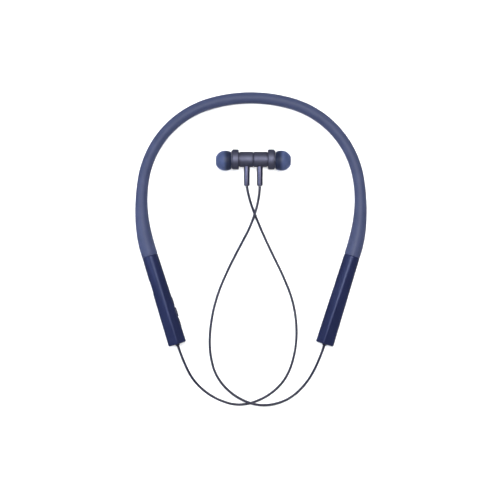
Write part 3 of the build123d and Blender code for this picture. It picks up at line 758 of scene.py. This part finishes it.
# ---------------------------------------------------------------- ear tips
# Liquid-silicone tips: a thick sleeve that grips the nozzle, doubled back over itself as a thin
# domed skirt. They are moulded in one piece and pull off by hand to be changed.
TIP_RIM_E, TIP_RIM_R, TIP_WIDE_E, TIP_R = 13.3, 5.15, 16.75, 6.0
TIP_WALL, TIP_RIM_WALL, TIP_LIP = 0.7, 0.5, 0.4
TIP_SLEEVE_R, TIP_SEAT_R = 3.3, 2.66
SLEEVE_EDGE, SEAT_STEP = 0.15, 0.06
LIP_ROLL = ((0.02, 0.14), (0.12, 0.28), (0.26, 0.37), (0.4, TIP_LIP))
RIM_ROLL = ((0.08, 0.12), (0.11, TIP_RIM_WALL / 2), (0.08, TIP_RIM_WALL - 0.12))
PAINTED_SHADE_FROM, PAINTED_SHADE_TO = 15.3, 18.0

# Liquid silicone, polished in the tool: light scatters a little way into it, so it reads as a soft
# dusty blue with a satin highlight. Towards the rim the base colour is darkened: painted shade,
# standing in for the shade inside the thin skirt and the dark ring and nozzle seen through it.
tip_silicone, tree, shader = new_material(
    "liquid silicone, satin dusty blue",
    {
        "Roughness": 0.46,
        "IOR": 1.41,
        "Specular IOR Level": 0.35,
        "Subsurface Weight": 0.3,
        "Subsurface Scale": 0.8 * MM,
        "Sheen Weight": 0.5,
        "Sheen Roughness": 0.35,
    },
)
shader.inputs["Subsurface Radius"].default_value = (0.7, 0.85, 1.3)
shader.inputs["Sheen Tint"].default_value = linear("#8c99cf")
place = mottle(tree, shader, "#4b587e", "#55628b", 4)
grain(tree, shader, place, 0.3, 0.005, roughness=(0.42, 0.5))
# Painted shade: nearer the ring, by distance along the bud's axis, the base colour is mixed into a dark
# navy.
axes = add_node(tree, "ShaderNodeSeparateXYZ", {}, {0: place.outputs["Object"]})
from_middle = add_node(
    tree,
    "ShaderNodeMath",
    {"operation": "SUBTRACT", 1: BUD_X * MM},
    {0: axes.outputs["X"]},
)
outward_by = add_node(tree, "ShaderNodeMath", {"operation": "ABSOLUTE"}, {0: from_middle.outputs[0]})
unshaded_share = add_node(
    tree,
    "ShaderNodeMapRange",
    {"interpolation_type": "SMOOTHSTEP", "From Min": PAINTED_SHADE_FROM * MM, "From Max": PAINTED_SHADE_TO * MM},
    {"Value": outward_by.outputs[0]},
)
moulded = shader.inputs["Base Color"].links[0].from_socket
skirt = add_node(tree, "ShaderNodeMix", {"data_type": "RGBA"}, {0: unshaded_share.outputs[0], 7: moulded})
skirt.inputs[6].default_value = linear("#242b44")
tree.links.new(skirt.outputs[2], shader.inputs["Base Color"])


def arc_points(centre_e, radius, start, end, steps=24):
    """Points of a circle about a point on the axis, between two angles from the axis in radians."""
    angles = [start + (end - start) * step / steps for step in range(steps + 1)]
    return [(centre_e + radius * math.cos(angle), radius * math.sin(angle)) for angle in angles]


def skirt_points(wide_r, rim_r, steps=10):
    """The skirt's flank from its rim up to its widest, an arc tangent to the cylinder there."""
    depth, fall = TIP_WIDE_E - TIP_RIM_E, wide_r - rim_r
    radius = (depth ** 2 + fall ** 2) / (2 * fall)
    sweep = math.asin(depth / radius)
    points = []
    for step in range(steps):
        angle = sweep * (1 - step / steps)
        points.append((TIP_WIDE_E - radius * math.sin(angle), wide_r - radius * (1 - math.cos(angle))))
    return points


nose_r = NOZZLE_BORE_R + TIP_LIP
inner_r = TIP_R - TIP_WALL
nose = math.asin(nose_r / TIP_R)
root = math.asin(TIP_SLEEVE_R / inner_r)
tip_outline = skirt_points(TIP_R, TIP_RIM_R) + arc_points(TIP_WIDE_E, TIP_R, math.pi / 2, nose)
nose_e = tip_outline[-1][0]
tip_outline += [(nose_e - back, nose_r - in_by) for back, in_by in LIP_ROLL]
tip_outline += [
    (NOZZLE_END + SEAT_STEP, NOZZLE_BORE_R),
    (NOZZLE_END + SEAT_STEP, TIP_SEAT_R),
    (TIP_RIM_E + SLEEVE_EDGE, TIP_SEAT_R),
    (TIP_RIM_E, TIP_SEAT_R + SLEEVE_EDGE),
    (TIP_RIM_E, TIP_SLEEVE_R - SLEEVE_EDGE),
    (TIP_RIM_E + SLEEVE_EDGE, TIP_SLEEVE_R),
]
tip_outline += arc_points(TIP_WIDE_E, inner_r, root, math.pi / 2)
tip_outline += list(reversed(skirt_points(inner_r, TIP_RIM_R - TIP_RIM_WALL)))
tip_outline += [(TIP_RIM_E - out_by, TIP_RIM_R - TIP_RIM_WALL + up) for out_by, up in RIM_ROLL]
for side, sign in SIDE_SIGN.items():
    centre = Vector((BUD_X, BUD_Y - NOZZLE_DROP, BUD_Z))
    tip = turned(f"{side}_silicone_tip", tip_outline, centre, (sign, 0, 0), tip_silicone, 128)
    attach(tip, f"{side}_ear_tip")
    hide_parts(f"{side}_ear_tip")


# ---------------------------------------------------------------- cords
# Two round leads, 1.5 mm across in a soft thermoplastic jacket. Each leaves its pod's bush, runs
# round one loop on the surface, crosses the other at the bottom, and rises into an earbud's stem.
CORD_R = 0.75
CORD_END_Y = BUD_Y - PLUG_END - 0.1
FLOOR, HUMP = CORD_R, 3.0
CORD_ROUTES = {
    "left": [
        (-41.1, -82.5, 5.0),
        (-34.3, -97.1, FLOOR),
        (-21.5, -107.3, FLOOR),
        (-6.0, -111.8, FLOOR),
        (10.2, -105.9, FLOOR),
        (21.5, -94.9, FLOOR),
        (26.6, -79.1, FLOOR),
        (27.5, -63.1, FLOOR),
        (24.7, -47.1, FLOOR),
        (18.5, -32.2, FLOOR),
        (11.3, -17.8, FLOOR),
        (4.7, -3.1, 1.2),
        (-1.2, 11.9, BUD_Z),
    ],
    "right": [
        (41.2, -82.5, 5.0),
        (33.7, -97.6, FLOOR),
        (21.8, -108.5, FLOOR),
        (5.5, -111.8, HUMP),
        (-9.7, -106.0, HUMP),
        (-21.1, -94.2, FLOOR),
        (-25.0, -78.4, FLOOR),
        (-24.2, -62.4, FLOOR),
        (-20.8, -46.7, FLOOR),
        (-14.7, -31.9, FLOOR),
        (-7.5, -17.6, 1.6),
        (0.2, -3.5, 4.8),
        (4.9, 11.8, BUD_Z),
    ],
}

# Thermoplastic elastomer, extruded: a smooth satin jacket, nearly black navy, with a faint
# unevenness left by the die.
cord_jacket, tree, shader = new_material(
    "thermoplastic elastomer, extruded navy jacket",
    {"Roughness": 0.4, "IOR": 1.5},
)
place = mottle(tree, shader, "#212136", "#29293f", 5)
grain(tree, shader, place, 0.4, 0.01, roughness=(0.36, 0.48))


def route_line(name, points):
    """The smooth line that follows a route, read from its spline, in metres."""
    curve = bpy.data.curves.new(name, "CURVE")
    curve.dimensions = "3D"
    curve.resolution_u = 16
    spline = curve.splines.new("NURBS")
    spline.points.add(len(points) - 1)
    for control, point in zip(spline.points, points):
        control.co = (*[value * MM for value in point], 1)
    spline.order_u = 3
    spline.use_endpoint_u = True
    guide = bpy.data.objects.new(name, curve)
    bpy.context.scene.collection.objects.link(guide)
    graph = bpy.context.evaluated_depsgraph_get()
    mesh = bpy.data.meshes.new_from_object(guide.evaluated_get(graph))
    line = [vertex.co.copy() for vertex in mesh.vertices]
    bpy.data.objects.remove(guide)
    bpy.data.meshes.remove(mesh)
    return line


def tube(name, line, radius, material, sides=20):
    """A round tube of a radius in mm along a line in metres, without twist."""
    rings = []
    direction = (line[1] - line[0]).normalized()
    reference = direction.orthogonal().normalized()
    for index, point in enumerate(line):
        before, after = line[max(index - 1, 0)], line[min(index + 1, len(line) - 1)]
        direction = (after - before).normalized()
        reference = (reference - direction * reference.dot(direction)).normalized()
        other = direction.cross(reference)
        ring = []
        for step in range(sides):
            angle = 2 * math.pi * step / sides
            ring.append(point / MM + reference * radius * math.cos(angle) + other * radius * math.sin(angle))
        rings.append(ring)
    return skin(name, rings, material)


for side, sign in SIDE_SIGN.items():
    start = pod_point(side, POD_LENGTH + GROMMET_REACH, 0, GROMMET_Z)
    end = Vector((BUD_X + sign * STEM_E, CORD_END_Y, BUD_Z))
    line = route_line(f"{side}_route", [start, *[Vector(point) for point in CORD_ROUTES[side]], end])
    cord = tube(f"{side}_lead", line, CORD_R, cord_jacket)
    length = sum((b - a).length for a, b in zip(line, line[1:]))
    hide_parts(f"{side}_cord")
    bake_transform(cord)


# ---------------------------------------------------------------- inside the band and the pods
# What makes it work, none of it on show: the liner, memory wire and harness in the sleeve; the
# boards, battery and drivers. They keep their built shapes and get the finish of the real thing.
def finish_nodes(material, nodes):
    for node in nodes:
        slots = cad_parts[node].data.materials
        slots.clear()
        slots.append(material)


# Natural nylon: waxy off-white, slightly cloudy.
liner_plastic, tree, shader = new_material("nylon, extruded natural", {"Roughness": 0.45, "IOR": 1.53})
place = mottle(tree, shader, "#cfcdc4", "#dedcd4", 4)
grain(tree, shader, place, 0.5, 0.01)
finish_nodes(liner_plastic, ["core_tube", "left_collar", "right_collar"])

# Drawn nickel-titanium: a darker grey than steel, faintly mottled.
spring_wire, tree, shader = new_material("nickel-titanium, drawn wire", {"Metallic": 1.0, "Roughness": 0.3})
place = mottle(tree, shader, "#77777c", "#8c8c92", 2)
grain(tree, shader, place, 0.1, 0.004)
finish_nodes(spring_wire, ["memory_wire"])
finish_nodes(cord_jacket, ["harness"])

# Crimped brass: warm, slightly dulled where the tool pressed it.
brass, tree, shader = new_material("brass, crimped", {"Metallic": 1.0, "Roughness": 0.32})
place = mottle(tree, shader, "#a88548", "#c09a58", 1)
grain(tree, shader, place, 0.2, 0.01)
finish_nodes(brass, ["left_wire_ferrule", "right_wire_ferrule"])

# Green solder resist over glass-epoxy: a glossy coat, mottled by the copper under it.
solder_resist, tree, shader = new_material(
    "glass-epoxy, green solder resist",
    {"Roughness": 0.3, "IOR": 1.55},
)
place = mottle(tree, shader, "#123a24", "#1a4a2e", 0.8)
grain(tree, shader, place, 0.3, 0.01)
finish_nodes(solder_resist, ["main_board", "protection_board"])
finish_nodes(tin_plate, ["shield_can", "microphone", "left_driver", "right_driver"])
finish_nodes(tongue_plastic, ["bluetooth_chip", "tact_switches"])
finish_nodes(clear_plastic, ["status_led"])
finish_nodes(button_plastic, [f"{name}_plunger" for name in BUTTONS])

# Aluminium laminate: a dull silver foil with soft dimples over the cell.
pouch, tree, shader = new_material("aluminium laminate, sealed pouch", {"Metallic": 1.0, "Roughness": 0.4})
place = mottle(tree, shader, "#8f9093", "#a8a9ac", 3)
grain(tree, shader, place, 1.2, 0.03)
finish_nodes(pouch, ["battery"])

# Open-cell foam: black, with no highlight at all.
foam, tree, shader = new_material("polyurethane, open-cell foam", {"Roughness": 0.9})
place = mottle(tree, shader, "#1d1d1f", "#2c2c2f", 0.4)
grain(tree, shader, place, 0.4, 0.1)
finish_nodes(foam, ["battery_foam"])

# Nickel plate over a sintered magnet: a warm mirror, slightly uneven.
nickel, tree, shader = new_material("neodymium magnet, nickel-plated", {"Metallic": 1.0, "Roughness": 0.15})
place = mottle(tree, shader, "#b9b6ae", "#cbc8c0", 1.5)
grain(tree, shader, place, 0.3, 0.002)
finish_nodes(nickel, ["left_dock_magnet", "right_dock_magnet"])


# ---------------------------------------------------------------- floor, lights and camera
# A plain pale table under a big softbox overhead and a little to the back, with a small gridded
# softbox above the right pod and another low on the left. A long lens looks straight down.
FLOOR_DROP, TABLE_THICKNESS, TABLE_REACH = 0.05, 20, 2500

# Matte white paint, rolled: an even white with hardly a change in tone.
floor_paint, tree, shader = new_material("matte white paint, rolled", {"Roughness": 0.9})
mottle(tree, shader, "#f0f0f1", "#f3f3f4", 60)
table_corners = [(x * TABLE_REACH, y * TABLE_REACH) for x, y in ((-1, -1), (1, -1), (1, 1), (-1, 1))]
table_rings = [[(x, y, z) for x, y in table_corners] for z in (-TABLE_THICKNESS, -FLOOR_DROP)]
table = skin("table_top", table_rings, floor_paint)


def soft_light(name, place, aim, size, power, spread=180, colour="#ffffff"):
    """A square softbox; a spread under 180 degrees is a honeycomb grid over its front."""
    lamp = bpy.data.lights.new(name, "AREA")
    lamp.shape, lamp.size, lamp.energy, lamp.spread = "SQUARE", size, power, math.radians(spread)
    lamp.color = linear(colour)[:3]
    holder = bpy.data.objects.new(name, lamp)
    bpy.context.scene.collection.objects.link(holder)
    holder.location = place
    holder.rotation_euler = (Vector(aim) - Vector(place)).to_track_quat("-Z", "Y").to_euler()
    return holder


soft_light("overhead_softbox", (0.0, 0.5, 1.65), (0, 0, 0), 1.0, 19)
soft_light("right_grid_softbox", (0.09, 0.0, 0.7), (0.07, -0.02, 0), 0.2, 0.075, 36)
soft_light("left_grid_softbox", (-0.36, 0.0, 0.24), (-0.09, -0.02, 0), 0.2, 0.068, 40, "#d8e6ff")

# The table has its own wash of light, which the earphones neither catch nor shade, so that it
# stays an even pale white under them.
table_only = bpy.data.collections.new("table_only")
table_only.objects.link(table)
wash = soft_light("table_wash", (0.0, 0.0, 2.0), (0, 0, 0), 2.0, 26)
wash.light_linking.receiver_collection = table_only
wash.light_linking.blocker_collection = table_only
table.visible_glossy = False

world = bpy.data.worlds.new("studio_air")
world.use_nodes = True
world.node_tree.nodes["Background"].inputs["Color"].default_value = linear("#eef1f8")
world.node_tree.nodes["Background"].inputs["Strength"].default_value = 0.2
bpy.context.scene.world = world
bpy.context.scene.view_settings.view_transform = "Standard"

VIEW_WIDTH, CAMERA_HEIGHT = 298.5, 1600.0
VIEW_X, VIEW_Y = -0.6, -18.3
camera_data = bpy.data.cameras.new("camera")
camera_data.lens = camera_data.sensor_width * CAMERA_HEIGHT / VIEW_WIDTH
camera_data.clip_end = 20
camera = bpy.data.objects.new("camera", camera_data)
bpy.context.scene.collection.objects.link(camera)
camera.location = Vector((VIEW_X, VIEW_Y, CAMERA_HEIGHT)) * MM
bpy.context.scene.camera = camera
